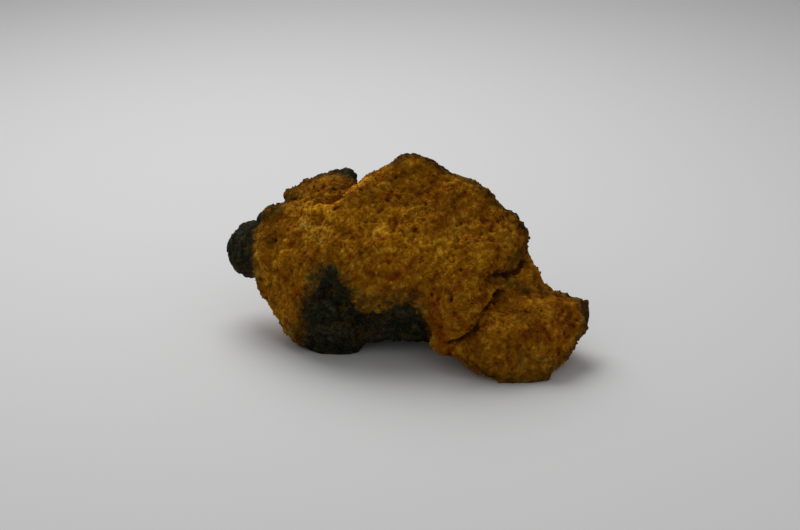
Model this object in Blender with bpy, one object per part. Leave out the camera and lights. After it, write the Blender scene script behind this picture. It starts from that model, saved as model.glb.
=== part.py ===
# A chunk of chaga, the hard corky growth of a birch fungus, as broken from its tree.
# It grew as one body, so it is one solid: rusty granular flesh on the broken faces, and a black
# cracked crust on what was its outside, which is the back, the hollow of the belly and the knob.
# +X is right, +Y is back, +Z is up, and the origin is the middle of the base that it rests on.

import math

import bmesh
import bpy
import numpy as np
from mathutils import Matrix, Vector, noise

MM = 0.001

# How long the finished chunk is, from the knob to the tip of the right lobe
LENGTH = 130 * MM

# Corners of each angular lobe, in millimetres: the lobe is their convex hull
LOBES = {
    "main_mass": [
        (1, 8, 71), (-6, 9, 67), (-13, 10, 61), (-18, 11, 57), (6, 8, 69), (13, 8, 66),
        (17, 8, 62.5), (23, 8, 59.5), (28, 8, 56), (32, 7, 50), (40, 5, 43), (43, 2, 38), (45, 0, 34),
        (-13, 3, 61), (-21, 0, 58), (-30, -2, 52), (-24, -14, 42), (-3, -12, 45), (14, -18, 43),
        (29, -15, 43), (-20, -19, 29), (-3, -20, 26), (5, -21, 25), (31, -15, 35),
        (-14, -14, 3), (-6, -15, 4), (5, -16, 7), (20, -6, 4), (-10, 26, 3), (26, 10, 6),
        (-10, 20, 56), (0, 20, 63), (14, 20, 57), (30, 18, 48),
    ],
    "shoulder": [
        (31, -2, 48), (33, 9, 49), (39, 8, 46.5), (41, 4, 43), (43.5, 0, 37.5), (45, 0, 33), (37, -8, 41),
        (32, -10, 44), (30, 2, 40), (36, 14, 40), (38, -6, 32), (24, 4, 44),
    ],
    "back_mass": [
        (-14, 34, 46), (2, 32, 57), (18, 32, 48), (36, 22, 38), (41, 8, 41), (-28, 39, 32),
        (-4, 42, 36), (0, 43, 20), (22, 40, 26), (34, 26, 12), (-26, 36, 8), (10, 38, 4),
        (36, 6, 12), (-20, 10, 50), (20, 6, 56), (-30, 8, 10), (20, 4, 4),
    ],
    "left_mass": [
        (-53, 12, 47), (-46, 14, 48.5), (-57, 6, 37), (-58, 3, 29), (-55, 0, 19), (-49, -6, 10),
        (-44, -9, 3), (-39, -12, -2), (-28, -15, -2), (-16, -14, -2), (-20, 6, -2), (-38, 8, -2),
        (-30, -17, 34), (-39, -11, 37), (-24, -15, 42), (-20, -19, 28), (-22, -19, 12),
        (-36, -16, 14), (-30, -2, 52), (-48, 24, 36), (-42, 30, 24), (-34, 26, 6), (-20, 18, 46),
        (-34, 22, -1),
    ],
    "collar": [
        (-61, 14, 36), (-57, 17, 40), (-53, 15, 44), (-49, 16, 46), (-47, 8, 44), (-52, 26, 38),
        (-60, 22, 34), (-50, 8, 30), (-46, 24, 28), (-58, 14, 26),
    ],
    "rear_lobe": [
        (-46, 20, 50), (-39, 22, 54.5), (-33, 24, 57), (-27, 25, 57.5), (-22, 26, 58), (-18.5, 26, 57.5),
        (-18, 24, 50), (-45, 12, 46), (-36, 6, 50), (-27, 8, 53), (-19, 10, 54), (-44, 30, 41),
        (-30, 34, 50), (-20, 34, 49), (-42, 36, 24), (-24, 40, 34), (-36, 30, 8),
    ],
    "neck": [
        (30, -15, 35), (36, -11, 36), (43, -3, 36), (47, -3, 31), (51, -5, 22), (34, -20, 28),
        (50, 2, 12), (40, 10, 6), (20, 6, 6), (26, -24, 12), (50, -18, 14), (40, 2, 36),
    ],
    "right_lobe": [
        (50, -7, 22), (59, -8, 22), (64, -10, 20), (67, -14, 17), (63, -18, 11), (60, -22, 7),
        (57, -28.5, 1.5), (50, -35, -2), (40, -37, -2), (30, -35, 2), (22, -33, 5), (15, -31, 6),
        (8, -28, 7), (4, -25, 9), (36, -22, 27), (32, -28, 22), (47, -25, 24), (50, -31, 15),
        (32, -36, 12), (52, -12, -2), (28, -16, -1), (54, 2, 10), (12, -14, 8),
    ],
    "chin": [
        (5, -21, 26), (7, -23, 12), (15, -27, 11), (21, -29, 14), (26, -28, 21), (30, -24, 27),
        (35, -18, 31), (16, -30, 27), (18, -26, 33), (31, -16, 34), (10, -10, 12), (26, -8, 20),
        (14, -19, 42),
    ],
    "heel": [
        (-22, 16, -2), (-12, 36, -2), (12, 38, -2), (26, 24, -2), (4, 12, -1), (-24, 30, 16),
        (0, 42, 16), (28, 32, 14), (8, 10, 16),
    ],
    "sole": [
        (-30, -6, 2), (-34, 16, 2), (-28, 30, 2), (14, 34, 2), (28, 16, 2), (30, -10, 2),
        (0, -8, 4), (-24, 0, 20), (22, 0, 20), (0, 26, 20), (-32, 24, 12),
    ],
}

# The rounder knob that grows from the left end: its centre and half sizes, in millimetres
KNOB = {"centre": (-57, 17, 28), "half": (11, 12, 11)}

# Cracks, in millimetres: a path on the front, seen along +Y, with the groove's width and depth.
# A crack doesn't reach further back than back_to.
CRACKS = {
    "chin_crack": {
        "path": [(34, 27.5), (29.5, 25.5), (25.5, 22), (23, 16.5), (15, 11.5)],
        "back_to": -8, "width": 1.4, "depth": 3.2,
    },
    "neck_gash": {
        "path": [(29, 31.5), (33, 32), (37, 33), (42, 34)],
        "back_to": 4, "width": 1.6, "depth": 3.4,
    },
    "left_fold": {
        "path": [(-51, 40), (-49, 32), (-47, 23)],
        "back_to": 8, "width": 2.2, "depth": 1.8,
    },
    "belly_hollow": {
        "path": [(-30, 36), (-29, 28), (-25, 20), (-18, 12)],
        "back_to": 0, "width": 4.0, "depth": 2.2,
    },
}

# Pits, in millimetres: each is a round dent about its centre
PITS = {
    "valley_pit": {"centre": (-31, 9, 53), "radius": 2.6, "depth": 2.2},
    "belly_pit": {"centre": (-6, -18, 33), "radius": 2.2, "depth": 1.4},
    "chin_pit": {"centre": (10, -24, 27), "radius": 2.2, "depth": 1.4},
    "neck_pit": {"centre": (32, -16, 32), "radius": 3.0, "depth": 1.6},
    "lobe_pit": {"centre": (44, -31, 15), "radius": 2.4, "depth": 1.4},
    "face_pit": {"centre": (16, -8, 52), "radius": 2.8, "depth": 1.2},
}

# Where the black crust lies, in millimetres: centre and half sizes of each patch, and how deep
# its seams are, as a share of the deepest. A patch thins out from its inner to its outer edge,
# which are shares of the half sizes, and the edge sways.
CRUST = {
    "back": {"centre": (0, 52, 28), "half": (76, 30, 46), "seams": 1},
    "belly": {"centre": (-10, -12, 10), "half": (19, 12, 16), "seams": 0.3},
    "knob": {"centre": (-62, 18, 30), "half": (11, 15, 15), "seams": 0.6},
}
CRUST_EDGE = {"inner": 0.85, "outer": 1.1, "sway": 0.16, "size": 12, "seed": 21.0}

# Relief, in millimetres: the size of its waves or blocks, and how high or deep they are
SWELLS = {"size": 17, "lift": 1.4, "seed": 3.0}
RUBBLE = {"size": 6, "lift": 0.9, "seed": 11.0}
BLOCKS = {"size": 11, "seam": 0.2, "depth": 2.6, "seed": 5.0}
CRACK_FADE = 4

# The skin: how fine it is when it is first closed, how often it is smoothed, and its facets at the end
VOXEL = 1.3 * MM
ROUNDING_PASSES = 6
TRIANGLES = 9200
SHARP_EDGE = math.radians(50)

RUST = (0.27, 0.115, 0.012, 1)
ROUGHNESS = 0.9


def clear_scene():
    for old in list(bpy.data.objects):
        bpy.data.objects.remove(old)


def add_object(name, mesh):
    made = bpy.data.objects.new(name, mesh)
    bpy.context.scene.collection.objects.link(made)
    return made


def applied(body):
    """The object's mesh with its modifiers applied; the object itself goes."""
    bpy.context.view_layer.update()
    graph = bpy.context.evaluated_depsgraph_get()
    mesh = bpy.data.meshes.new_from_object(body.evaluated_get(graph))
    bpy.data.objects.remove(body)
    return mesh


def add_lobe(shape, corners):
    points = [shape.verts.new(Vector(corner) * MM) for corner in corners]
    hull = bmesh.ops.convex_hull(shape, input=points)
    inner = [item for item in hull["geom_interior"] if isinstance(item, bmesh.types.BMVert)]
    bmesh.ops.delete(shape, geom=inner, context="VERTS")


def add_knob(shape):
    place = Matrix.Translation(Vector(KNOB["centre"]) * MM)
    place @= Matrix.Diagonal((*(Vector(KNOB["half"]) * MM), 1))
    bmesh.ops.create_icosphere(shape, subdivisions=3, radius=1, matrix=place)


def lobes_mesh():
    """The lobes and the knob as separate closed shapes that run into each other."""
    shape = bmesh.new()
    for corners in LOBES.values():
        add_lobe(shape, corners)
    add_knob(shape)
    bmesh.ops.recalc_face_normals(shape, faces=shape.faces)
    mesh = bpy.data.meshes.new("lobes")
    shape.to_mesh(mesh)
    shape.free()
    return mesh


def one_skin(mesh, rounding_passes=0):
    """One even skin over everything in the mesh, its corners rounded by smoothing."""
    body = add_object("skin", mesh)
    skin = body.modifiers.new("skin", "REMESH")
    skin.mode = "VOXEL"
    skin.voxel_size = VOXEL
    if rounding_passes:
        rounding = body.modifiers.new("rounding", "SMOOTH")
        rounding.iterations = rounding_passes
    return applied(body)


def outer_skin(mesh):
    """Drops the skins of any pockets closed inside the chunk, so that its flesh is solid."""
    shape = bmesh.new()
    shape.from_mesh(mesh)
    skins = []
    left = set(shape.verts)
    while left:
        skin = {left.pop()}
        front = list(skin)
        while front:
            near = {edge.other_vert(vert) for vert in front for edge in vert.link_edges}
            front = near - skin
            skin |= front
        left -= skin
        skins.append(skin)
    skins.sort(key=len)
    for pocket in skins[:-1]:
        bmesh.ops.delete(shape, geom=list(pocket), context="VERTS")
    shape.to_mesh(mesh)
    shape.free()
    return mesh


def smooth_step(low, high, value):
    t = np.clip((value - low) / (high - low), 0, 1)
    return t * t * (3 - 2 * t)


def wave(points, size, seed):
    """Rolling noise from about -1 to 1, whose waves are size millimetres long."""
    shift = Vector((seed, 0, 0))
    return np.array([noise.fractal(Vector(p) / size + shift, 1.0, 2.0, 3) for p in points])


def block_seams(points):
    """1 in the seams between two crust blocks and 0 on the blocks."""
    shift = Vector((BLOCKS["seed"], 0, 0))
    nearest = [noise.voronoi(Vector(p) / BLOCKS["size"] + shift)[0] for p in points]
    away = np.array([second - first for first, second, *_ in nearest])
    return 1 - smooth_step(0, BLOCKS["seam"], away)


def seam_depth(points):
    """How deep the crust's seams are at each point: 0 on bare flesh."""
    sway = CRUST_EDGE["sway"] * wave(points, CRUST_EDGE["size"], CRUST_EDGE["seed"])
    share = np.zeros(len(points))
    for patch in CRUST.values():
        away = np.linalg.norm((points - patch["centre"]) / patch["half"], axis=1) + sway
        inside = 1 - smooth_step(CRUST_EDGE["inner"], CRUST_EDGE["outer"], away)
        share = np.maximum(share, inside * patch["seams"])
    return BLOCKS["depth"] * share * block_seams(points)


def crack_depth(points, path, back_to, width, depth):
    """How deep a crack is at each point, by how far the point is from the crack's path."""
    seen = points[:, [0, 2]]
    away = np.full(len(points), np.inf)
    for start, end in zip(np.array(path[:-1], float), np.array(path[1:], float)):
        along = end - start
        share = np.clip((seen - start) @ along / (along @ along), 0, 1)
        away = np.minimum(away, np.linalg.norm(seen - start - share[:, None] * along, axis=1))
    in_front = 1 - smooth_step(back_to - CRACK_FADE, back_to, points[:, 1])
    return depth * in_front * np.exp(-((away / width) ** 2))


def pit_depth(points, centre, radius, depth):
    away = np.linalg.norm(points - centre, axis=1)
    return depth * np.exp(-((away / radius) ** 2))


def add_relief(mesh):
    """Moves the skin in and out by its swells, rubble, crust seams, cracks and pits."""
    count = len(mesh.vertices)
    points = np.empty(count * 3)
    normals = np.empty(count * 3)
    mesh.vertices.foreach_get("co", points)
    mesh.vertices.foreach_get("normal", normals)
    points = points.reshape(-1, 3) / MM
    normals = normals.reshape(-1, 3)
    lift = SWELLS["lift"] * wave(points, SWELLS["size"], SWELLS["seed"])
    lift += RUBBLE["lift"] * wave(points, RUBBLE["size"], RUBBLE["seed"])
    lift -= seam_depth(points)
    for crack in CRACKS.values():
        lift -= crack_depth(points, **crack)
    for pit in PITS.values():
        lift -= pit_depth(points, **pit)
    points += normals * lift[:, None]
    mesh.vertices.foreach_set("co", (points * MM).ravel())
    mesh.update()


def thinned(mesh):
    """The same skin with fewer, larger facets where it is smooth."""
    body = add_object("thinned", mesh)
    fewer = body.modifiers.new("fewer_facets", "DECIMATE")
    fewer.ratio = TRIANGLES / (2 * len(mesh.polygons))
    return applied(body)


def stand_on_feet(mesh):
    """Cuts the feet level at the base, then centres the chunk and gives it its length."""
    shape = bmesh.new()
    shape.from_mesh(mesh)
    everything = [*shape.verts, *shape.edges, *shape.faces]
    bmesh.ops.bisect_plane(shape, geom=everything, plane_co=(0, 0, 0), plane_no=(0, 0, -1),
                           clear_outer=True)
    rims = [edge for edge in shape.edges if edge.is_boundary]
    bmesh.ops.holes_fill(shape, edges=rims)
    bmesh.ops.triangulate(shape, faces=shape.faces)
    places = np.array([vert.co for vert in shape.verts])
    low, high = places.min(0), places.max(0)
    middle = (low + high) / 2
    growth = LENGTH / (high[0] - low[0])
    bmesh.ops.translate(shape, verts=shape.verts, vec=(-middle[0], -middle[1], 0))
    bmesh.ops.scale(shape, verts=shape.verts, vec=(growth, growth, growth))
    shape.to_mesh(mesh)
    shape.free()


def add_flesh_material(body):
    flesh = bpy.data.materials.new("chaga_flesh")
    flesh.use_nodes = True
    shader = flesh.node_tree.nodes["Principled BSDF"]
    shader.inputs["Base Color"].default_value = RUST
    shader.inputs["Roughness"].default_value = ROUGHNESS
    shader.inputs["Metallic"].default_value = 0
    body.data.materials.append(flesh)


def build():
    clear_scene()
    skin = outer_skin(one_skin(lobes_mesh(), ROUNDING_PASSES))
    add_relief(skin)
    chunk = thinned(outer_skin(one_skin(skin)))
    stand_on_feet(chunk)
    body = add_object("chaga_chunk", outer_skin(chunk))
    body.data.shade_smooth()
    body.data.set_sharp_from_angle(angle=SHARP_EDGE)
    add_flesh_material(body)


build()
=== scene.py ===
import math

import bmesh
import bpy
import numpy as np
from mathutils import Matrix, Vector, noise


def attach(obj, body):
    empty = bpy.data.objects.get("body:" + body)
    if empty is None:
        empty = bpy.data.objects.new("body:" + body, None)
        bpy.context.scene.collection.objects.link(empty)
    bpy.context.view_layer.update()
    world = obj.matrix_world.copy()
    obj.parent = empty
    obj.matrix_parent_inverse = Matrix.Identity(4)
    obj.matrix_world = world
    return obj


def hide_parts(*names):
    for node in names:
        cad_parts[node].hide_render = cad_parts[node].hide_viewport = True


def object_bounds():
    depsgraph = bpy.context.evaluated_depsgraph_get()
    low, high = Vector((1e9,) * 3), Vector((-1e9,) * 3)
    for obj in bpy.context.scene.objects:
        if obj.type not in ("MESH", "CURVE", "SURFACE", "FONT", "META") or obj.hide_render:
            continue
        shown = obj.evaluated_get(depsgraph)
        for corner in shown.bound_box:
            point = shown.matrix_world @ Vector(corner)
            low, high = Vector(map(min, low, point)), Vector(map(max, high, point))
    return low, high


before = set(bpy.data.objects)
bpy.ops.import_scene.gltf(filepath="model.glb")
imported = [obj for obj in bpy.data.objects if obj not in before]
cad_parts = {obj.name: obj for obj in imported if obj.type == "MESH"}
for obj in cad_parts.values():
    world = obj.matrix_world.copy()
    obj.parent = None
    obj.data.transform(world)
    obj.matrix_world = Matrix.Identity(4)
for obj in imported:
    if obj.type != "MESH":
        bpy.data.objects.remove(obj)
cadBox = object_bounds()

# A chunk of chaga on a pale table: rusty crumbly flesh with black crust on what was its outside.
# The chunk's own sizes here are in millimetres, Blender's are in metres.
mm = 0.001
boxLow = np.array(cadBox[0]) / mm
boxHigh = np.array(cadBox[1]) / mm
print("frame loaded, box in mm:", boxLow.round(1), boxHigh.round(1))


# Helpers that work on many points at once

def newObject(name, mesh):
    made = bpy.data.objects.new(name, mesh)
    bpy.context.scene.collection.objects.link(made)
    return made


def applyModifiers(body):
    bpy.context.view_layer.update()
    graph = bpy.context.evaluated_depsgraph_get()
    mesh = bpy.data.meshes.new_from_object(body.evaluated_get(graph))
    old = body.data
    body.modifiers.clear()
    body.data = mesh
    bpy.data.meshes.remove(old)


bakeMap = "OFBake"  # the name of the map that patterns are baked through


def readVectors(mesh, what):
    flat = np.empty(len(mesh.vertices) * 3, np.float32)
    mesh.vertices.foreach_get(what, flat)
    return flat.reshape(-1, 3).astype(float)


def addMask(mesh, name, values):
    layer = mesh.attributes.new(name, "FLOAT", "POINT")
    layer.data.foreach_set("value", values.astype(np.float32))


def smoothStep(low, high, value):
    t = np.clip((value - low) / (high - low), 0, 1)
    return t * t * (3 - 2 * t)


def rolling(points, size, octaves, seed):  # about -1 to 1
    return np.array([noise.fractal(Vector(p), 1.0, 2.0, octaves) for p in points / size + seed])


def creased(points, size, octaves, seed):  # puffs with sharp creases between them, about 0 to 1
    return np.array([noise.turbulence(Vector(p), octaves, True) for p in points / size + seed])


cellSlant = {"seed": 4, "spread": 9.7}
noise.seed_set(cellSlant["seed"])  # else the slants differ from run to run


def cells(points, size, seed):  # how far to the cell's middle and rim, its number, and its slanted top
    places = [Vector(p) for p in points / size + seed]
    found = [noise.voronoi(place) for place in places]
    return {
        "toMiddle": np.array([near[0] for near, spots in found]),
        "toRim": np.array([near[1] - near[0] for near, spots in found]),
        "number": np.array([noise.cell(spots[0]) for near, spots in found]) * 0.5 + 0.5,
        "slant": np.array([(place - spots[0]).dot(noise.noise_vector(spots[0] * cellSlant["spread"]))
                           for place, (near, spots) in zip(places, found)]),
    }


def awayFrom(points, path):  # distance to a line through the path's points, flat or in space
    corners = np.array(path, float)
    away = np.linalg.norm(points - corners[0], axis=1)
    for start, end in zip(corners[:-1], corners[1:]):
        step = end - start
        share = np.clip((points - start) @ step / (step @ step), 0, 1)
        away = np.minimum(away, np.linalg.norm(points - start - share[:, None] * step, axis=1))
    return away


def insideOutline(seen, outline):  # how far inside a closed flat outline
    corners = np.array(outline, float)
    inside = np.zeros(len(seen), bool)
    for (x1, z1), (x2, z2) in zip(corners, np.roll(corners, -1, axis=0)):
        crosses = (z1 > seen[:, 1]) != (z2 > seen[:, 1])
        rise = z2 - z1 if z2 != z1 else 1.0
        inside ^= crosses & (seen[:, 0] < (x2 - x1) * (seen[:, 1] - z1) / rise + x1)
    away = awayFrom(seen, [*outline, outline[0]])
    return np.where(inside, away, -away)


# The skin of the chunk

skin = {
    "voxel": 0.6,           # how fine the skin is
    "smoothPasses": 14,     # takes the solid's facets out
    "mapPasses": 60,        # smoothing, corner angle and gap of the map
    "mapAngle": 1.15,
    "mapGap": 0.003,
    "drawnIn": 0.15,        # room left in the box for the relief
    "pressed": 1.0,         # what comes this near to the box is pressed back softly
    "footHeight": 0.4,      # what stands on the table stays level up to here
}


def buildSkin():
    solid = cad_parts["chaga_chunk"]
    body = newObject("chagaChunk", solid.data.copy())
    body.data.materials.clear()
    remesh = body.modifiers.new("evenSkin", "REMESH")
    remesh.mode = "VOXEL"
    remesh.voxel_size = skin["voxel"] * mm
    smooth = body.modifiers.new("noFacets", "SMOOTH")
    smooth.iterations = skin["smoothPasses"]
    applyModifiers(body)
    return body


def layOutMap(body):  # on a softer copy, because bumps break a map into thousands of bits
    soft = newObject("softSkin", body.data.copy())
    smooth = soft.modifiers.new("noBumps", "SMOOTH")
    smooth.iterations = skin["mapPasses"]
    applyModifiers(soft)
    soft.data.uv_layers.new(name=bakeMap)
    bpy.ops.object.select_all(action="DESELECT")
    bpy.context.view_layer.objects.active = soft
    soft.select_set(True)
    bpy.ops.object.mode_set(mode="EDIT")
    bpy.ops.mesh.select_all(action="SELECT")
    bpy.ops.uv.smart_project(angle_limit=skin["mapAngle"], island_margin=skin["mapGap"])
    bpy.ops.object.mode_set(mode="OBJECT")
    laid = np.empty(len(soft.data.loops) * 2, np.float32)
    soft.data.uv_layers[bakeMap].uv.foreach_get("vector", laid)
    body.data.uv_layers.new(name=bakeMap).uv.foreach_set("vector", laid)
    bpy.data.objects.remove(soft)


# Where the black crust lies

crust = {
    # from above, the line behind which the crust starts: x, y
    "backLine": [(-66, -5), (-56, 8), (-50, 16), (-40, 22), (-20, 26), (-13, 11), (0, 8), (12, 8), (23, 6),
                 (30, 4.5), (35, 2.5), (42, -1.5), (52, -5), (60, -10), (66, -14)],
    "turned": 7,            # the line comes this much forward where the surface faces back,
    "turnedFrom": 0.25,     # and goes back where it faces back less than this
    "knobEdge": -54.6,      # the knob is black to the left of this x
    # from the front, the black hollow of the belly: x, z
    "belly": [(-28.5, 34), (-26.5, 35), (-23.5, 33), (-20.5, 28), (-18, 22.5), (-15.5, 18.5), (-10.5, 17.5),
              (-5.5, 20), (-3, 23), (1, 23.5), (4, 22), (6, 17.5), (7, 10), (8, 2), (20, -5), (-39, -5),
              (-37.5, 4), (-36, 9), (-34.3, 15), (-32.6, 22), (-30.3, 29)],
    "bellyBack": 4,         # the belly's black stops this far back under the chunk
    "patches": {            # bits of crust that stayed on the flesh: a line through points, and a radius
        "leftTop": ([(-55, 12, 39), (-52, 10, 43), (-46.5, 10, 47)], 3.4),
        "rearTip": ([(-22, 21, 57), (-17, 20, 55)], 3.4),
        "rearRim": ([(-40, 20, 50), (-30, 25, 54)], 2.2),
        "shoulder": ([(36, 3, 47), (40, 0, 42)], 1.6),
        "lobeRim": ([(62, -12, 19), (64.5, -18, 13), (59, -26, 4)], 0.9),
        "backFold": ([(-29, 16, 8), (-29, 18, 16)], 6.0),
    },
    "sway": {11: 1.8, 4: 1.3, 1.6: 0.9},  # the border's waves: size, and how far they move it
    "swaySeed": 31.0,
    "knobSway": (3, 0.7),
    "knobSeed": 37.0,
    "fade": 2.0,
    "haze": (-5.5, 1),      # where the flesh begins to darken beyond the border, and where it's darkest
}


def crustReach(points, facing):  # how far inside the crust, and outside it below 0
    lineX, lineY = np.array(crust["backLine"], float).T
    reach = points[:, 1] - np.interp(points[:, 0], lineX, lineY)
    reach = reach + crust["turned"] * (facing[:, 1] - crust["turnedFrom"])
    belly = insideOutline(points[:, [0, 2]], crust["belly"])
    reach = np.maximum(reach, np.minimum(belly, crust["bellyBack"] - points[:, 1]))
    for path, radius in crust["patches"].values():
        reach = np.maximum(reach, radius - awayFrom(points, path))
    for size, by in crust["sway"].items():
        reach = reach + by * rolling(points, size, 2, crust["swaySeed"] + size)
    size, by = crust["knobSway"]
    onKnob = crust["knobEdge"] - points[:, 0] + by * rolling(points, size, 3, crust["knobSeed"])
    return np.maximum(reach, onKnob)


# Cracks and lips that are sharper here than in the solid: path as seen from the front (x, z)

cracks = {
    "chin": {"path": [(15.5, 11.3), (20.6, 13.4), (24, 16.5), (25.6, 21.5), (29.2, 24.6), (33.9, 27)],
             "width": 0.95, "depth": 1.8},
    "neck": {"path": [(29.5, 30.8), (34, 30.6), (38, 31), (42.5, 32.3)], "width": 0.8, "depth": 1.4},
    "leftFold": {"path": [(-48, 40), (-48, 35), (-47, 29)], "width": 2.4, "depth": 0.8},
    "brow": {"path": [(-25, 37), (-14, 34), (-6, 32.5)], "width": 0.6, "depth": 0.5},
    "cheek": {"path": [(8, 47), (15, 42), (21, 35), (24, 31)], "width": 0.7, "depth": 0.5},
}
lips = {
    "chin": {"path": [(14.5, 13.3), (19.4, 15.4), (22.2, 18), (23.8, 23), (28, 26.6), (33, 29)],
             "width": 1.1, "height": 0.5},
    "crest": {"path": [(-31, 50), (-27, 52), (-23, 54.8), (-19, 57), (-15, 58.8)],
              "width": 1.6, "height": 0.9},
    "leftEdge": {"path": [(-44.5, 31), (-43, 35), (-41, 38)], "width": 1.8, "height": 0.6},
}
crackWay = {
    "back": -1,             # the y where they end
    "fade": 4,
    "wander": {3.0: 0.6, 1.3: 0.45},  # how they stray: wave size, and how far
    "wanderSeed": 5.0,
    "uneven": (3.5, 0.9),   # how their depth varies: wave size, and share
    "unevenRange": (0.65, 1.5),
    "unevenSeed": 71.0,
    "dark": 0.5,            # painted shade in the cracks: how dark they are for each millimetre of depth
}


def crackDepth(points):  # how deep the cracks are, how uneven that is, and how high the lips stand
    seed = crackWay["wanderSeed"]
    stray = sum(by * rolling(points, size, 3, seed) for size, by in crackWay["wander"].items())
    size, share = crackWay["uneven"]
    uneven = 1 + share * rolling(points, size, 2, crackWay["unevenSeed"])
    uneven = np.clip(uneven, *crackWay["unevenRange"])
    seen = points[:, [0, 2]] + stray[:, None]
    depth = np.zeros(len(points))
    for crack in cracks.values():
        near = np.exp(-((awayFrom(seen, crack["path"]) / crack["width"]) ** 2))
        depth = np.maximum(depth, crack["depth"] * near)
    raised = np.zeros(len(points))
    for lip in lips.values():
        raised += lip["height"] * np.exp(-((awayFrom(seen, lip["path"]) / lip["width"]) ** 2))
    front = 1 - smoothStep(crackWay["back"], crackWay["back"] + crackWay["fade"], points[:, 1])
    return depth * front, uneven, raised * front


# Relief of the two kinds of surface

flesh = {
    "lumps": (8.0, 1.3, 2.0),    # size, height, seed
    "puffs": (3.8, 1.1, 7.0),
    "grains": (1.9, 0.85, 13.0),
    "grainTop": 0.6,        # how high a grain's middle is, and the least that it stands out
    "grainLeast": 0.3,
    # share is how many of the cells hold one
    "pits": {"size": 4.6, "depth": 1.3, "share": 0.32, "width": 0.17, "seed": 19.0},
    "pores": {"size": 2.2, "depth": 0.7, "share": 0.25, "width": 0.24, "seed": 61.0},
    "poreDark": 0.8,        # painted shade in a pore: how dark it is next to a pit
}
blackCrust = {
    "blocks": (8.0, 2.1, 23.0),  # size, depth of the seams between them, seed
    "chips": (3.0, 0.7, 29.0),
    "seam": 0.12,
    "chipSeam": 0.16,
    "step": 0.9,            # how much one block stands above the next
    "chipStep": 0.45,
    "slant": 4.5,           # how much their tops lean
    "chipSlant": 2.0,
    "calm": 0.4,            # the share of the relief near the border and on the front
    "knobCalm": 0.5,        # the share of it that the knob, left of these x, goes without
    "knobFrom": (-56, -47),
    "wildReach": (2, 12),   # the full relief comes in this far from the border, and over these y
    "wildBack": (0, 15),
    "warp": (5, 0.7),       # what bends the seams: wave size, and how far
    "warpSeeds": (41.0, 43.0, 47.0),
    "grit": (1.2, 0.16, 3.0),
    "chipSeamDark": 0.6,
    "highLight": 0.5,       # painted highlight: how much lighter the crust is for each millimetre of height
}


def holes(points, kind):  # 1 at the middle of each hole
    cell = cells(points, kind["size"], kind["seed"])
    reach = kind["width"] * (0.5 + cell["number"] / kind["share"])
    return np.where(cell["number"] < kind["share"], np.exp(-((cell["toMiddle"] / reach) ** 2)), 0)


def fleshRelief(points):  # the lift, the grains and the holes
    size, height, seed = flesh["lumps"]
    lift = height * rolling(points, size, 3, seed)
    size, height, seed = flesh["puffs"]
    lift += height * (creased(points, size, 3, seed) - 0.5)
    size, height, seed = flesh["grains"]
    cell = cells(points, size, seed)
    grain = (flesh["grainTop"] - cell["toMiddle"]) * (flesh["grainLeast"] + cell["number"])
    lift += height * grain
    pits = holes(points, flesh["pits"])
    pores = holes(points, flesh["pores"])
    lift -= flesh["pits"]["depth"] * pits + flesh["pores"]["depth"] * pores
    return lift, grain, np.maximum(pits, flesh["poreDark"] * pores)


def crustRelief(points, reach):  # the lift and the seams
    size, by = blackCrust["warp"]
    bends = [rolling(points, size, 2, seed) for seed in blackCrust["warpSeeds"]]
    warped = points + by * np.stack(bends, axis=1)
    size, depth, seed = blackCrust["blocks"]
    block = cells(warped, size, seed)
    seam = 1 - smoothStep(0, blackCrust["seam"], block["toRim"])
    lift = blackCrust["step"] * (block["number"] - 0.5) + blackCrust["slant"] * block["slant"] - depth * seam
    size, depth, seed = blackCrust["chips"]
    chip = cells(warped, size, seed)
    chipSeam = 1 - smoothStep(0, blackCrust["chipSeam"], chip["toRim"])
    lift += blackCrust["chipStep"] * (chip["number"] - 0.5) + blackCrust["chipSlant"] * chip["slant"]
    lift -= depth * chipSeam
    size, height, seed = blackCrust["grit"]
    lift += height * rolling(points, size, 2, seed)
    wild = smoothStep(*blackCrust["wildReach"], reach) * smoothStep(*blackCrust["wildBack"], points[:, 1])
    share = blackCrust["calm"] + (1 - blackCrust["calm"]) * wild
    share = share * (1 - blackCrust["knobCalm"] * (1 - smoothStep(*blackCrust["knobFrom"], points[:, 0])))
    return lift * share, np.maximum(seam, blackCrust["chipSeamDark"] * chipSeam)


# Stains and tints on the flesh, with painted shade and painted light among them: kind, a line through
# points, radius and strength

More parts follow.
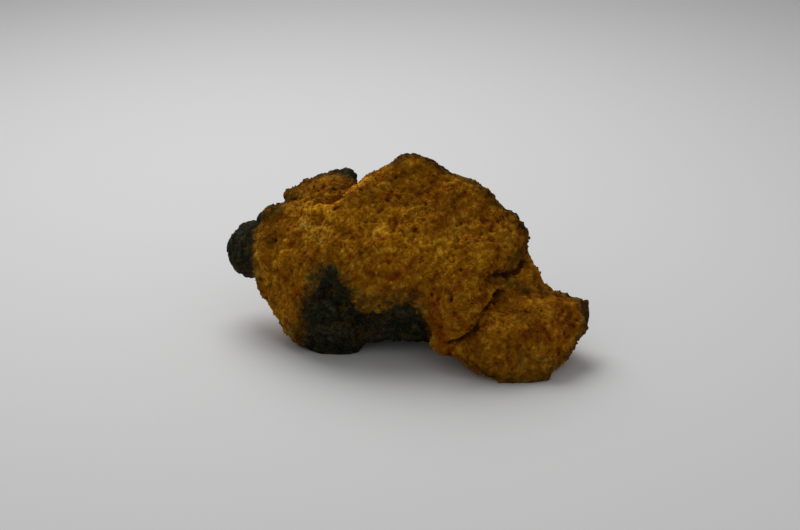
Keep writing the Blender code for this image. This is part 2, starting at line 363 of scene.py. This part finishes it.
stains = {
    "valleyHole": ("red", [(-29.4, 10.3, 52)], 2.0, 1.0),
    "valleySpot": ("dark", [(-25.5, 9.5, 52.6)], 1.6, 0.9),
    "browSpot": ("red", [(-6.5, -20, 32.4), (-2.1, -20.7, 32.4)], 2.2, 0.9),
    "chinSpot": ("red", [(9.9, -25.8, 28.8), (11.9, -26.6, 26.5)], 2.6, 0.6),
    "chinShade": ("red", [(10.6, -27.5, 22.3), (11, -28, 16), (14, -30, 10)], 6.0, 0.6),
    "lobeSpot": ("red", [(49.6, -31.4, 15.1), (53.9, -29.4, 14.1)], 4.5, 0.5),
    "lobeRed": ("red", [(56.9, -24.5, 18.5), (54, -30, 10)], 9.0, 0.5),
    "topRed": ("red", [(8, -6, 58), (17, -8, 53), (14, -12, 50)], 4.0, 0.5),
    "neckGrey": ("umberAndShade", [(34, -16.5, 29), (38.8, -17.9, 28), (41.7, -17.1, 25.7)], 3.0, 0.75),
    "neckTop": ("umberAndShade", [(43, -10, 28), (47.2, -12.6, 24.3), (52.4, -14.8, 23)], 3.0, 0.7),
    # gash, gashWide and aboveGash: painted shade in the gash and under the overhang above it
    "gash": ("dark", [(30.5, -14.8, 31), (34.1, -13, 30.3), (37.4, -11.3, 30.6), (40.5, -5.9, 31.2)],
             2.0, 1.0),
    "gashWide": ("umberAndShade", [(37.4, -11.3, 31), (40.5, -5.9, 32), (42.8, -2.7, 33)], 2.4, 1.0),
    "aboveGash": ("umberAndShade", [(36, -12, 34), (39.5, -9.5, 36), (42.5, -5, 36.9)], 3.0, 0.9),
    "leftGroove": ("red", [(-48, 2, 39.5), (-48, -0.3, 35.2), (-47, -3, 29.1)], 3.0, 0.35),
    "leftGrooveTop": ("umberAndShade", [(-46, -2, 41), (-48.5, 0, 37)], 3.5, 0.5),
    "leftTop": ("umberAndShade", [(-51.1, 10.6, 42.5), (-45.9, 4.6, 46.6)], 4.5, 0.8),
    "shoulder": ("umberAndShade", [(17.3, -6.7, 55.1)], 2.8, 1.0),
    # rightFace and peak: painted shade on the right face and on the top
    "rightFace": ("umberAndShade", [(33, -8, 46), (38, -8, 40)], 6.0, 0.3),
    "peak": ("umberAndShade", [(-2, -2, 65), (4, -2, 66)], 5.0, 0.5),
    "rearLobe": ("umberAndShade", [(-40, 11, 49), (-32, 11, 52), (-24, 13, 54)], 7.0, 0.5),
    # painted shade on the top of the lobe
    "lobeTop": ("umberAndShade", [(50, -13, 24), (56, -13, 22), (61, -14, 20)], 6.0, 0.6),
    # topRim, rearRim, lobeRim and leftRim: painted shade along the edges of the outline
    "topRim": ("umberAndShade", [(-3.5, 5, 65.5), (1.8, 5, 67.7), (7, 5, 66.4), (12.2, 5.5, 62.9), (17.5, 5, 59.4),
                         (22.7, 3.5, 57), (28, 4, 53.5), (32.7, 2.5, 48.5), (37.7, 2, 45), (43, -4, 37)],
               3.2, 0.9),
    "rearRim": ("umberAndShade", [(-45, 14, 46), (-39, 15, 49.6), (-35.7, 17, 52.3), (-30, 19, 54.5),
                          (-25, 20, 56)], 3.0, 0.9),
    "lobeRim": ("umberAndShade", [(58.7, -10.5, 20.5), (63, -14, 19.6), (63.5, -19, 16.7), (61.5, -24, 11.5),
                          (58, -28, 7), (54, -33, 3), (43, -38, 1), (32, -38.5, 2), (22, -35.5, 5),
                          (13.5, -32, 6.5)], 2.8, 0.85),
    "leftRim": ("umberAndShade", [(-50, -2, 24), (-47, -6, 16), (-43, -8, 8), (-41, -10, 2)], 2.6, 0.6),
    "footShade": ("umberAndShade", [(-39.9, -12.5, 9), (-38, -14, 3)], 5.0, 0.7),
    "bellyHaze": ("umberAndShade", [(-18.3, -20, 25), (-10.3, -23.5, 23), (-3.4, -22.5, 26), (3.4, -22.4, 26)],
                  4.6, 0.7),
    "bellySide": ("umberAndShade", [(-30.1, -16, 32.8), (-31.9, -16.7, 27.8), (-34.1, -17.1, 21.8),
                            (-35.7, -15.3, 15.1), (-37, -14.6, 8.8), (-37.8, -14.2, 3.4)], 4.2, 0.8),
    "lobeShade": ("umberAndShade", [(24, -34, 9), (36, -36, 7), (50, -33, 6)], 7.0, 0.45),
    "lobeUmber": ("umberAndShade", [(34, -26, 24), (44, -26, 21), (52, -22, 20)], 5.0, 0.2),
    "palePatch": ("pale", [(-35.2, -5, 46.1), (-30.8, -9.2, 44.9), (-29.4, -11.2, 42.8)], 3.6, 0.4),
    # crest: lighter flesh along the crest, with a painted highlight on it
    "crest": ("goldAndLight", [(-31, -3.5, 50), (-27, -2, 52), (-23, -1, 54.8), (-19, -0.5, 57), (-15, 0.5, 58.8)],
              2.4, 1.1),
    # centre: painted light, a pool of light on the middle of the front
    "centre": ("goldAndLight", [(-26, -8, 48), (-8, -14, 46), (6, -17, 42), (18, -18, 38)], 12.0, 0.62),
    "leftEdge": ("goldAndLight", [(-52.9, 2.9, 36.5), (-52.8, 0.9, 32.7), (-52, -2.1, 30.2)], 2.2, 1.0),
    "edgeStreak": ("goldAndLight", [(-46.3, -3.5, 27.7), (-43.8, -7.5, 32.7), (-41.9, -8.3, 36.1)], 2.6, 0.9),
    "lobeGold": ("goldAndLight", [(27.3, -29.9, 19.7), (34, -31, 17)], 4.0, 0.6),
    "chinGold": ("goldAndLight", [(17, -25, 25), (22, -24, 28)], 5.0, 0.5),
}
stainKinds = ("goldAndLight", "pale", "umberAndShade", "red", "dark")
# how far the stains' edges stray, the two waves that move them (size, octaves, seed), and where they fade
stainEdge = {"sway": 0.4, "fineWave": (3.5, 3, 51.0), "wideWave": (8, 2, 57.0), "from": -0.3, "to": 0.7}


def stainMasks(points):
    fine = rolling(points, *stainEdge["fineWave"])
    wide = rolling(points, *stainEdge["wideWave"])
    sway = stainEdge["sway"] * fine + stainEdge["sway"] * wide
    masks = {kind: np.zeros(len(points)) for kind in stainKinds}
    for kind, path, radius, strength in stains.values():
        near = 1 - awayFrom(points, path) / radius + sway
        near = smoothStep(stainEdge["from"], stainEdge["to"], near)
        masks[kind] = np.maximum(masks[kind], strength * near)
    return masks


# Small moves of one place: a line through points, how far around it they reach, and the move in x, y, z

nudges = {
    "knob": ([(-60, 9, 29)], 9, (0, 0, -2.2)),
    "rearLobe": ([(-41, 14, 49.5), (-36, 15, 52.5)], 4.5, (0.3, 0, -1.5)),
    "peakLeft": ([(-11, 2, 61), (-6.6, 2.1, 63.5), (-1.7, 3.3, 66.4)], 4, (0.4, 0, -0.9)),
    "rightRim": ([(24, 3.5, 56), (31.4, 2.9, 49.2), (39.7, -1.3, 43)], 3.5, (0.7, 0, 1.7)),
    "leftFace": ([(-51, -4, 20), (-47, -8, 14), (-45, -9, 11)], 5, (1.0, 0, 0.3)),
    "leftFoot": ([(-38, -15, 1)], 4, (1.8, 0, 1.5)),
    "belly": ([(-12, -17, 4), (4, -17.5, 4)], 5, (0, 0, 1.8)),
    "chin": ([(11, -30, 6), (16, -32, 4.5)], 4, (0.8, 0, 1.1)),
    "lobeFoot": ([(54, -33, 1)], 5, (-3.2, 0.5, 0.5)),
}


def nudged(points, shaped):
    for path, radius, move in nudges.values():
        near = np.exp(-((awayFrom(points, path) / radius) ** 2))
        shaped = shaped + near[:, None] * np.array(move)
    return shaped


def keptInBox(shaped):
    room = skin["pressed"]
    toHigh = (boxHigh - shaped) / room
    shaped = np.where(toHigh < 1, boxHigh - room * np.exp(toHigh - 1), shaped)
    toLow = (shaped - boxLow) / room
    toLow[:, 2] = 1  # the feet stay on the table
    shaped = np.where(toLow < 1, boxLow + room * np.exp(toLow - 1), shaped)
    return np.clip(shaped, boxLow, boxHigh)


def shapeChunk(body):
    mesh = body.data
    points = readVectors(mesh, "co") / mm
    facing = readVectors(mesh, "normal")
    reach = crustReach(points, facing)
    black = smoothStep(-crust["fade"], crust["fade"], reach)
    fleshLift, grain, hole = fleshRelief(points)
    crustLift, seam = crustRelief(points, reach)
    crack, uneven, raised = crackDepth(points)
    lift = fleshLift * (1 - black) + crustLift * black + raised - crack * uneven - skin["drawnIn"]
    # painted shade in pits, pores and cracks, and darker seams in the crust
    hollow = hole * (1 - black) + crack * uneven * crackWay["dark"] + seam * black
    # the grain's tone on the flesh, and a painted highlight on the raised parts of the crust
    tone = grain * (1 - black) + crustLift * black * blackCrust["highLight"] + 0.5
    shaped = points + facing * lift[:, None]
    shaped[:, 2] = np.where(points[:, 2] < skin["footHeight"], points[:, 2], shaped[:, 2])
    shaped = keptInBox(nudged(points, shaped))
    mesh.vertices.foreach_set("co", (shaped * mm).astype(np.float32).ravel())
    mesh.update()
    addMask(mesh, "crust", black)
    addMask(mesh, "haze", smoothStep(*crust["haze"], reach))
    addMask(mesh, "hollow", np.clip(hollow, 0, 1))
    addMask(mesh, "grain", np.clip(tone, 0, 1))
    stained = stainMasks(points)
    for kind, values in stained.items():
        addMask(mesh, kind, values)
    mesh.shade_smooth()
    facing = readVectors(mesh, "normal")
    return {"points": shaped, "facing": facing, "black": black, "cracked": crack, **stained}


# Crumbs of flesh that cling to the flesh, and chips that cling to the crust: half widths in mm

crumbs = {
    "count": 4200,
    "size": (0.24, 0.62),
    "fewLarge": 2.0,        # above 1, small ones outnumber large ones
    "raised": 0.05,         # how far a crumb's middle stands off the surface, in half widths
    "thinnest": 0.6,
    "lumpy": 0.25,
    "tone": (0.1, 1),
    "seed": 11,
    "mostBlack": 0.3,       # they lie where there is less crust and less of a crack than this
    "mostCracked": 1.0,
}
chips = {
    "count": 1100,
    "size": (0.35, 0.95),
    "fewLarge": 2.0,
    "raised": -0.12,
    "thinnest": 0.45,
    "lumpy": 0.3,
    "tone": (0.1, 1),
    "seed": 12,
    "leastBlack": 0.6,
    "rightOf": -47,         # the knob at the left end has none
}
tileFill = 0.42             # how much of its tile in the map a crumb fills, from the middle


def randomTurns(rng, count):
    fours = rng.normal(size=(4, count))
    a, b, c, d = fours / np.linalg.norm(fours, axis=0)
    rows = [[1 - 2 * (c * c + d * d), 2 * (b * c - a * d), 2 * (b * d + a * c)],
            [2 * (b * c + a * d), 1 - 2 * (b * b + d * d), 2 * (c * d - a * b)],
            [2 * (b * d - a * c), 2 * (c * d + a * b), 1 - 2 * (b * b + c * c)]]
    return np.array(rows).transpose(2, 0, 1)


def unfoldBall(corners, faces):  # the ball peeled like an orange, flat, within 1 of the middle
    up = np.degrees(np.arccos(corners[faces][:, :, 2].clip(-1, 1)))
    turn = np.arctan2(corners[faces][:, :, 1], corners[faces][:, :, 0])
    middle = corners[faces].mean(1)
    atPole = (up < 1) | (up > 179)  # no turn of its own there, so it takes its face's
    turn = np.where(atPole, np.arctan2(middle[:, 1], middle[:, 0])[:, None], turn)
    return np.stack([np.cos(turn), np.sin(turn)], axis=2) * (up / 180)[:, :, None]


def buildBits(name, surface, allowed, bits):
    rng = np.random.default_rng(bits["seed"])
    ball = bmesh.new()
    bmesh.ops.create_icosphere(ball, subdivisions=1, radius=1)
    corners = np.array([vert.co for vert in ball.verts])
    faces = np.array([[vert.index for vert in face.verts] for face in ball.faces])
    ball.free()
    picked = rng.choice(np.flatnonzero(allowed), bits["count"], replace=False)
    small, large = bits["size"]
    radius = small + (large - small) * rng.random(len(picked)) ** bits["fewLarge"]
    middles = surface["points"][picked] + surface["facing"][picked] * (radius * bits["raised"])[:, None]
    inBox = ((middles - radius[:, None] > boxLow) & (middles + radius[:, None] < boxHigh)).all(1)
    picked, radius, middles = picked[inBox], radius[inBox], middles[inBox]
    count = len(picked)
    lumps = 1 + bits["lumpy"] * rng.uniform(-1, 1, (count, len(corners), 1))
    widths = rng.uniform(bits["thinnest"], 1, (count, 1, 3)) * radius[:, None, None]
    shapes = np.einsum("nij,nkj->nki", randomTurns(rng, count), corners * lumps * widths)
    places = (shapes + middles[:, None, :]).reshape(-1, 3)
    allFaces = (faces + len(corners) * np.arange(count)[:, None, None]).reshape(-1, 3)
    mesh = bpy.data.meshes.new(name)
    mesh.from_pydata((places * mm).tolist(), [], allFaces.tolist())
    across = math.ceil(count ** 0.5)
    tiles = np.stack([np.arange(count) % across, np.arange(count) // across], axis=1) + 0.5
    laid = (tiles[:, None, None, :] + tileFill * unfoldBall(corners, faces)) / across
    mesh.uv_layers.new(name=bakeMap).uv.foreach_set("vector", laid.astype(np.float32).ravel())
    # each crumb takes the stains, painted shade and painted light of the skin under it
    for kind in stainKinds:
        addMask(mesh, kind, np.repeat(surface[kind][picked], len(corners)))
    addMask(mesh, "grain", np.repeat(rng.uniform(*bits["tone"], count), len(corners)))
    mesh.shade_smooth()
    return newObject(name, mesh)


# Materials

def setInput(tree, socket, value):
    if isinstance(value, bpy.types.NodeSocket):
        tree.links.new(value, socket)
    else:
        socket.default_value = value


def addNode(tree, kind, inputs=None, **settings):
    made = tree.nodes.new(kind)
    for name, value in settings.items():
        setattr(made, name, value)
    for socket, value in (inputs or {}).items():
        setInput(tree, made.inputs[socket], value)
    return made


def mixColors(tree, share, first, second, how="MIX"):  # sockets 0, 6 and 7 are the ones for colours
    made = addNode(tree, "ShaderNodeMix", data_type="RGBA", blend_type=how)
    for socket, value in zip((made.inputs[0], made.inputs[6], made.inputs[7]), (share, first, second)):
        setInput(tree, socket, value)
    return made.outputs[2]


def mathNode(tree, operation, first, second=0.5):  # 0.5 is for SUBTRACT, to centre 0 to 1 on 0
    return addNode(tree, "ShaderNodeMath", {0: first, 1: second}, operation=operation).outputs[0]


def rangeNode(tree, value, low, high, toLow=0.0, toHigh=1.0):
    ends = {"Value": value, "From Min": low, "From Max": high, "To Min": toLow, "To Max": toHigh}
    return addNode(tree, "ShaderNodeMapRange", ends, interpolation_type="SMOOTHSTEP").outputs["Result"]


def noiseNode(tree, place, size, detail, roughness, warp=0.0):
    ends = {"Vector": place, "Scale": 1 / (size * mm), "Detail": detail, "Roughness": roughness,
            "Distortion": warp}
    return addNode(tree, "ShaderNodeTexNoise", ends).outputs["Fac"]


def attributeNode(tree, name):
    return addNode(tree, "ShaderNodeAttribute", attribute_name=name).outputs["Fac"]


def newGroup(name, ins, outs):
    tree = bpy.data.node_groups.new(name, "ShaderNodeTree")
    for socket, kind in ins.items():
        tree.interface.new_socket(socket, in_out="INPUT", socket_type="NodeSocket" + kind)
    for socket, kind in outs.items():
        tree.interface.new_socket(socket, in_out="OUTPUT", socket_type="NodeSocket" + kind)
    return tree, tree.nodes.new("NodeGroupInput").outputs, tree.nodes.new("NodeGroupOutput").inputs


# Crumbly grain for every surface of the chunk: three colours mixed by noise and by grains of their own
# shades, a height for bumps, and each grain's number to break up stains

crumble = {
    "mottle": (6.5, 3, 0.55, 0.3),  # size, detail, roughness, warp
    "clods": (2.2, 3, 0.6, 0.3),
    "specks": (0.6, 2, 0.6),
    "grainSize": 1.05,
    "bend": (1.5, 0.5),     # what bends the grains' rims: wave size, and how far
    "byGrain": 0.45,        # how much the relief's own grains change the shade
    "middleRange": (-0.5, 0.05),  # the shades between which each colour comes in
    "lightRange": (0.0, 0.5),
    "rounding": -0.7,       # the bumps' shares of the grains and of the specks
    "speckHeight": 0.5,
}


def crumbleGroup():
    ins = {"Vector": "Vector", "Deep": "Color", "Middle": "Color", "Light": "Color", "Grain": "Float",
           "Mottle": "Float", "Clods": "Float", "Specks": "Float", "Grains": "Float"}
    tree, given, out = newGroup("crumble", ins, {"Color": "Color", "Height": "Float", "Number": "Float"})
    place = given["Vector"]
    size, by = crumble["bend"]
    bends = addNode(tree, "ShaderNodeTexNoise", {"Vector": place, "Scale": 1 / (size * mm)})
    bent = addNode(tree, "ShaderNodeVectorMath", {0: bends.outputs["Color"], 1: (by * mm,) * 3, 2: place},
                   operation="MULTIPLY_ADD")
    ends = {"Vector": bent.outputs[0], "Scale": 1 / (crumble["grainSize"] * mm)}
    grains = addNode(tree, "ShaderNodeTexVoronoi", ends)
    number = addNode(tree, "ShaderNodeSeparateColor", {"Color": grains.outputs["Color"]}).outputs["Red"]
    tone = mathNode(tree, "MULTIPLY", mathNode(tree, "SUBTRACT", given["Grain"]), crumble["byGrain"])
    noises = {
        "Mottle": noiseNode(tree, place, *crumble["mottle"]),
        "Clods": noiseNode(tree, place, *crumble["clods"]),
        "Specks": noiseNode(tree, place, *crumble["specks"]),
        "Grains": number,
    }
    for name, value in noises.items():
        part = mathNode(tree, "MULTIPLY", mathNode(tree, "SUBTRACT", value), given[name])
        tone = mathNode(tree, "ADD", tone, part)
    color = mixColors(tree, rangeNode(tree, tone, *crumble["middleRange"]), given["Deep"], given["Middle"])
    color = mixColors(tree, rangeNode(tree, tone, *crumble["lightRange"]), color, given["Light"])
    rounded = mathNode(tree, "MULTIPLY", grains.outputs["Distance"], crumble["rounding"])
    specks = mathNode(tree, "MULTIPLY", noises["Specks"], crumble["speckHeight"])
    height = mathNode(tree, "ADD", rounded, specks)
    height = mathNode(tree, "ADD", height, noises["Clods"])
    tree.links.new(color, out["Color"])
    tree.links.new(height, out["Height"])
    tree.links.new(number, out["Number"])
    return tree


# Rusty dust that clings to the crust, thickest in its seams

dust = {
    "color": (0.080, 0.044, 0.009, 1),
    "wide": (5.0, 3, 0.6),  # size, detail, roughness
    "fine": (0.9, 2, 0.6),
    "fineShare": 0.9,
    "inSeams": 0.32,        # how much thicker it is in the seams
    "range": (0.56, 0.95),
    "amount": 0.8,
    "chipSeams": 0.3,       # how much of a seam a chip counts as
}


def dustGroup():
    ins = {"Vector": "Vector", "Seams": "Float", "Amount": "Float"}
    tree, given, out = newGroup("rustDust", ins, {"Mask": "Float"})
    wide = noiseNode(tree, given["Vector"], *dust["wide"])
    fine = noiseNode(tree, given["Vector"], *dust["fine"])
    fine = mathNode(tree, "MULTIPLY", mathNode(tree, "SUBTRACT", fine), dust["fineShare"])
    spread = mathNode(tree, "ADD", wide, fine)
    spread = mathNode(tree, "ADD", spread, mathNode(tree, "MULTIPLY", given["Seams"], dust["inSeams"]))
    mask = mathNode(tree, "MULTIPLY", rangeNode(tree, spread, *dust["range"]), given["Amount"])
    tree.links.new(mask, out["Mask"])
    return tree


rust = {
    "Deep": (0.085, 0.022, 0.0012, 1),
    "Middle": (0.300, 0.108, 0.0030, 1),
    "Light": (0.540, 0.270, 0.016, 1),
    "Mottle": 1.15,
    "Clods": 1.0,
    "Specks": 0.50,
    "Grains": 0.22,
    # stains, painted shade and painted light multiply the colours above, so that the grain shows through
    # them
    "red": (0.70, 0.42, 0.60, 1),
    # a gold tint of the flesh, which is also painted light on the centre and a painted highlight on the
    # crest
    "goldAndLight": (1.55, 1.68, 1.70, 1),
    "pale": (1.10, 1.40, 4.50, 1),
    # an olive umber tint of the flesh, which is also painted shade along the outline's edges, on the top,
    # the right face and the lobe's top, and under the gash
    "umberAndShade": (0.42, 0.52, 1.30, 1),
    # a near-black tint, used as painted shade in the gash
    "dark": (0.06, 0.09, 0.25, 1),
    # painted shade in pits, pores and cracks, and darker seams in the crust
    "hollow": (0.30, 0.25, 0.30, 1),
    "hue": (4.2, 3, 0.6),   # size, detail, roughness of the changes of hue
    "redHue": (0.52, 0.70, 0, 0.85),  # from and to in the noise, then the shares that it gives
    "goldHue": (0.48, 0.32, 0, 0.25),
    "stainRange": (0.2, 0.9),
    "hazeRange": (0.1, 0.9),
    "hollowRange": (0.15, 0.8),
    "hollowFray": 0.5,
    "bump": 0.6,
    "bumpDepth": 0.6,
}
char = {
    "Deep": (0.0030, 0.0032, 0.0018, 1),
    "Middle": (0.0160, 0.0168, 0.0088, 1),
    "Light": (0.054, 0.053, 0.029, 1),
    "Mottle": 0.9,
    "Clods": 1.4,
    "Specks": 1.0,
    "Grains": 0.3,
    "bump": 0.6,
    "bumpDepth": 0.5,
}
shine = {"flesh": 0.95, "crust": 0.72, "specular": 0.04}
# what frays the edges: a noise's size, detail and roughness, the grains' share, and the crust's border
frayed = {"noise": (1.6, 3, 0.65), "byGrain": 0.5, "crustRange": (0.2, 0.8)}


def placeCrumble(tree, crumbleTree, place, grain, finish):
    group = addNode(tree, "ShaderNodeGroup", node_tree=crumbleTree)
    setInput(tree, group.inputs["Vector"], place)
    setInput(tree, group.inputs["Grain"], grain)
    for socket in ("Deep", "Middle", "Light", "Mottle", "Clods", "Specks", "Grains"):
        group.inputs[socket].default_value = finish[socket]
    return group.outputs


def brokenUp(tree, place, number):  # about -0.5 to 0.5, to fray the edges of stains and crust
    spread = mathNode(tree, "SUBTRACT", noiseNode(tree, place, *frayed["noise"]))
    grains = mathNode(tree, "MULTIPLY", mathNode(tree, "SUBTRACT", number), frayed["byGrain"])
    return mathNode(tree, "ADD", spread, grains)


def fleshColor(tree, place, grainy, fine):  # the rusty flesh with its changes of hue, its stains, and its painted shade and painted light
    hue = noiseNode(tree, place, *rust["hue"])
    color = mixColors(tree, rangeNode(tree, hue, *rust["redHue"]), grainy, rust["red"], "MULTIPLY")
    color = mixColors(tree, rangeNode(tree, hue, *rust["goldHue"]), color, rust["goldAndLight"], "MULTIPLY")
    for kind in stainKinds:
        broken = mathNode(tree, "ADD", attributeNode(tree, kind), fine)
        share = rangeNode(tree, broken, *rust["stainRange"])
        color = mixColors(tree, share, color, rust[kind], "MULTIPLY")
    return color


def newMaterial(name):
    made = bpy.data.materials.new(name)
    made.use_nodes = True
    tree = made.node_tree
    shader = tree.nodes["Principled BSDF"]
    shader.inputs["Specular IOR Level"].default_value = shine["specular"]
    return made, tree, shader, tree.nodes.new("ShaderNodeTexCoord").outputs["Object"]


def addBump(tree, shader, height, finish):
    ends = {"Strength": finish["bump"], "Distance": finish["bumpDepth"] * mm, "Height": height}
    tree.links.new(addNode(tree, "ShaderNodeBump", ends).outputs["Normal"], shader.inputs["Normal"])


def crumbMaterial(crumbleTree):
    made, tree, shader, place = newMaterial("fleshCrumb")
    grainy = placeCrumble(tree, crumbleTree, place, attributeNode(tree, "grain"), rust)
    color = fleshColor(tree, place, grainy["Color"], brokenUp(tree, place, grainy["Number"]))
    tree.links.new(color, shader.inputs["Base Color"])
    shader.inputs["Roughness"].default_value = shine["flesh"]
    addBump(tree, shader, grainy["Height"], rust)
    return made


def chipMaterial(crumbleTree, dustTree):
    made, tree, shader, place = newMaterial("crustChip")
    charred = placeCrumble(tree, crumbleTree, place, attributeNode(tree, "grain"), char)
    ends = {"Vector": place, "Seams": dust["chipSeams"], "Amount": dust["amount"]}
    dusty = addNode(tree, "ShaderNodeGroup", ends, node_tree=dustTree)
    color = mixColors(tree, dusty.outputs["Mask"], charred["Color"], dust["color"])
    tree.links.new(color, shader.inputs["Base Color"])
    shader.inputs["Roughness"].default_value = shine["crust"]
    addBump(tree, shader, charred["Height"], char)
    return made


def skinMaterial(crumbleTree, dustTree):
    made, tree, shader, place = newMaterial("chagaSkin")
    grain = attributeNode(tree, "grain")
    hollow = attributeNode(tree, "hollow")
    grainy = placeCrumble(tree, crumbleTree, place, grain, rust)
    fine = brokenUp(tree, place, grainy["Number"])
    charred = placeCrumble(tree, crumbleTree, place, grain, char)
    color = fleshColor(tree, place, grainy["Color"], fine)
    shade = mathNode(tree, "ADD", attributeNode(tree, "haze"), fine)
    color = mixColors(tree, rangeNode(tree, shade, *rust["hazeRange"]), color, rust["umberAndShade"], "MULTIPLY")
    # painted shade in pits, pores and cracks, and darker seams in the crust, frayed by the grain
    deep = mathNode(tree, "ADD", hollow, mathNode(tree, "MULTIPLY", fine, rust["hollowFray"]))
    color = mixColors(tree, rangeNode(tree, deep, *rust["hollowRange"]), color, rust["hollow"], "MULTIPLY")
    ends = {"Vector": place, "Seams": hollow, "Amount": dust["amount"]}
    dusty = addNode(tree, "ShaderNodeGroup", ends, node_tree=dustTree)
    black = mixColors(tree, dusty.outputs["Mask"], charred["Color"], dust["color"])
    border = mathNode(tree, "ADD", attributeNode(tree, "crust"), fine)
    border = rangeNode(tree, border, *frayed["crustRange"])
    color = mixColors(tree, border, color, black)
    tree.links.new(color, shader.inputs["Base Color"])
    roughness = rangeNode(tree, border, 0, 1, shine["flesh"], shine["crust"])
    tree.links.new(roughness, shader.inputs["Roughness"])
    addBump(tree, shader, grainy["Height"], rust)
    return made


# The table, the lights and the camera

table = {"half": 1.6, "color": (0.80, 0.80, 0.80, 1), "roughness": 0.8, "specular": 0.2}


def buildTable():
    half = table["half"]
    mesh = bpy.data.meshes.new("table")
    corners = [(-half, -half, 0), (half, -half, 0), (half, half, 0), (-half, half, 0)]
    mesh.from_pydata(corners, [], [(0, 1, 2, 3)])
    made = newObject("table", mesh)
    finish = bpy.data.materials.new("paleTable")
    finish.use_nodes = True
    shader = finish.node_tree.nodes["Principled BSDF"]
    shader.inputs["Base Color"].default_value = table["color"]
    shader.inputs["Roughness"].default_value = table["roughness"]
    shader.inputs["Specular IOR Level"].default_value = table["specular"]
    mesh.materials.append(finish)


lights = {
    "overhead": {"at": (-0.16, 0.34, 0.56), "size": 0.5, "power": 1.01, "spread": 100},
    "front": {"at": (0.35, -0.60, 0.50), "size": 0.6, "power": 0.12, "spread": 180},
}
sky = {"color": (1, 1, 1, 1), "strength": 0.275}


def buildLights():
    for name, light in lights.items():
        data = bpy.data.lights.new(name, "AREA")
        data.shape = "SQUARE"
        data.size = light["size"]
        data.energy = light["power"]
        data.spread = math.radians(light["spread"])
        made = newObject(name, data)
        made.location = light["at"]
        made.rotation_mode = "QUATERNION"
        made.rotation_quaternion = (-Vector(light["at"])).to_track_quat("-Z", "Y")
    world = bpy.data.worlds.new("paleRoom")
    world.use_nodes = True
    background = world.node_tree.nodes["Background"]
    background.inputs["Color"].default_value = sky["color"]
    background.inputs["Strength"].default_value = sky["strength"]
    bpy.context.scene.world = world
    bpy.context.scene.view_settings.view_transform = "Standard"


camera = {
    "lens": 76,
    "lookAt": (-0.00172, -0.00283, 0.02859),
    "distance": 0.5978,
    "lookDown": 25,         # degrees
    "nearest": 0.01,
}


def buildCamera():
    made = newObject("camera", bpy.data.cameras.new("camera"))
    made.data.lens = camera["lens"]
    made.data.clip_start = camera["nearest"]
    tilt = math.radians(camera["lookDown"])
    back = Vector((0, -math.cos(tilt), math.sin(tilt)))
    made.location = Vector(camera["lookAt"]) + back * camera["distance"]
    made.rotation_mode = "QUATERNION"
    made.rotation_quaternion = (-back).to_track_quat("-Z", "Y")
    bpy.context.scene.camera = made


buildCamera()
buildLights()
buildTable()
print("camera, lights and table placed")

chunk = buildSkin()
layOutMap(chunk)
print("skin:", len(chunk.data.vertices), "points")
surface = shapeChunk(chunk)
print("relief and masks added")
onFlesh = (surface["black"] < crumbs["mostBlack"]) & (surface["cracked"] < crumbs["mostCracked"])
fleshCrumbs = buildBits("fleshCrumbs", surface, onFlesh, crumbs)
onCrust = (surface["black"] > chips["leastBlack"]) & (surface["points"][:, 0] > chips["rightOf"])
crustChips = buildBits("crustChips", surface, onCrust, chips)
print("crumbs and chips scattered")

crumbleTree = crumbleGroup()
dustTree = dustGroup()
chunk.data.materials.append(skinMaterial(crumbleTree, dustTree))
fleshCrumbs.data.materials.append(crumbMaterial(crumbleTree))
crustChips.data.materials.append(chipMaterial(crumbleTree, dustTree))
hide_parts("chaga_chunk")
for piece in (chunk, fleshCrumbs, crustChips):
    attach(piece, "root")
    print(piece.name, "triangles:", sum(len(face.vertices) - 2 for face in piece.data.polygons))
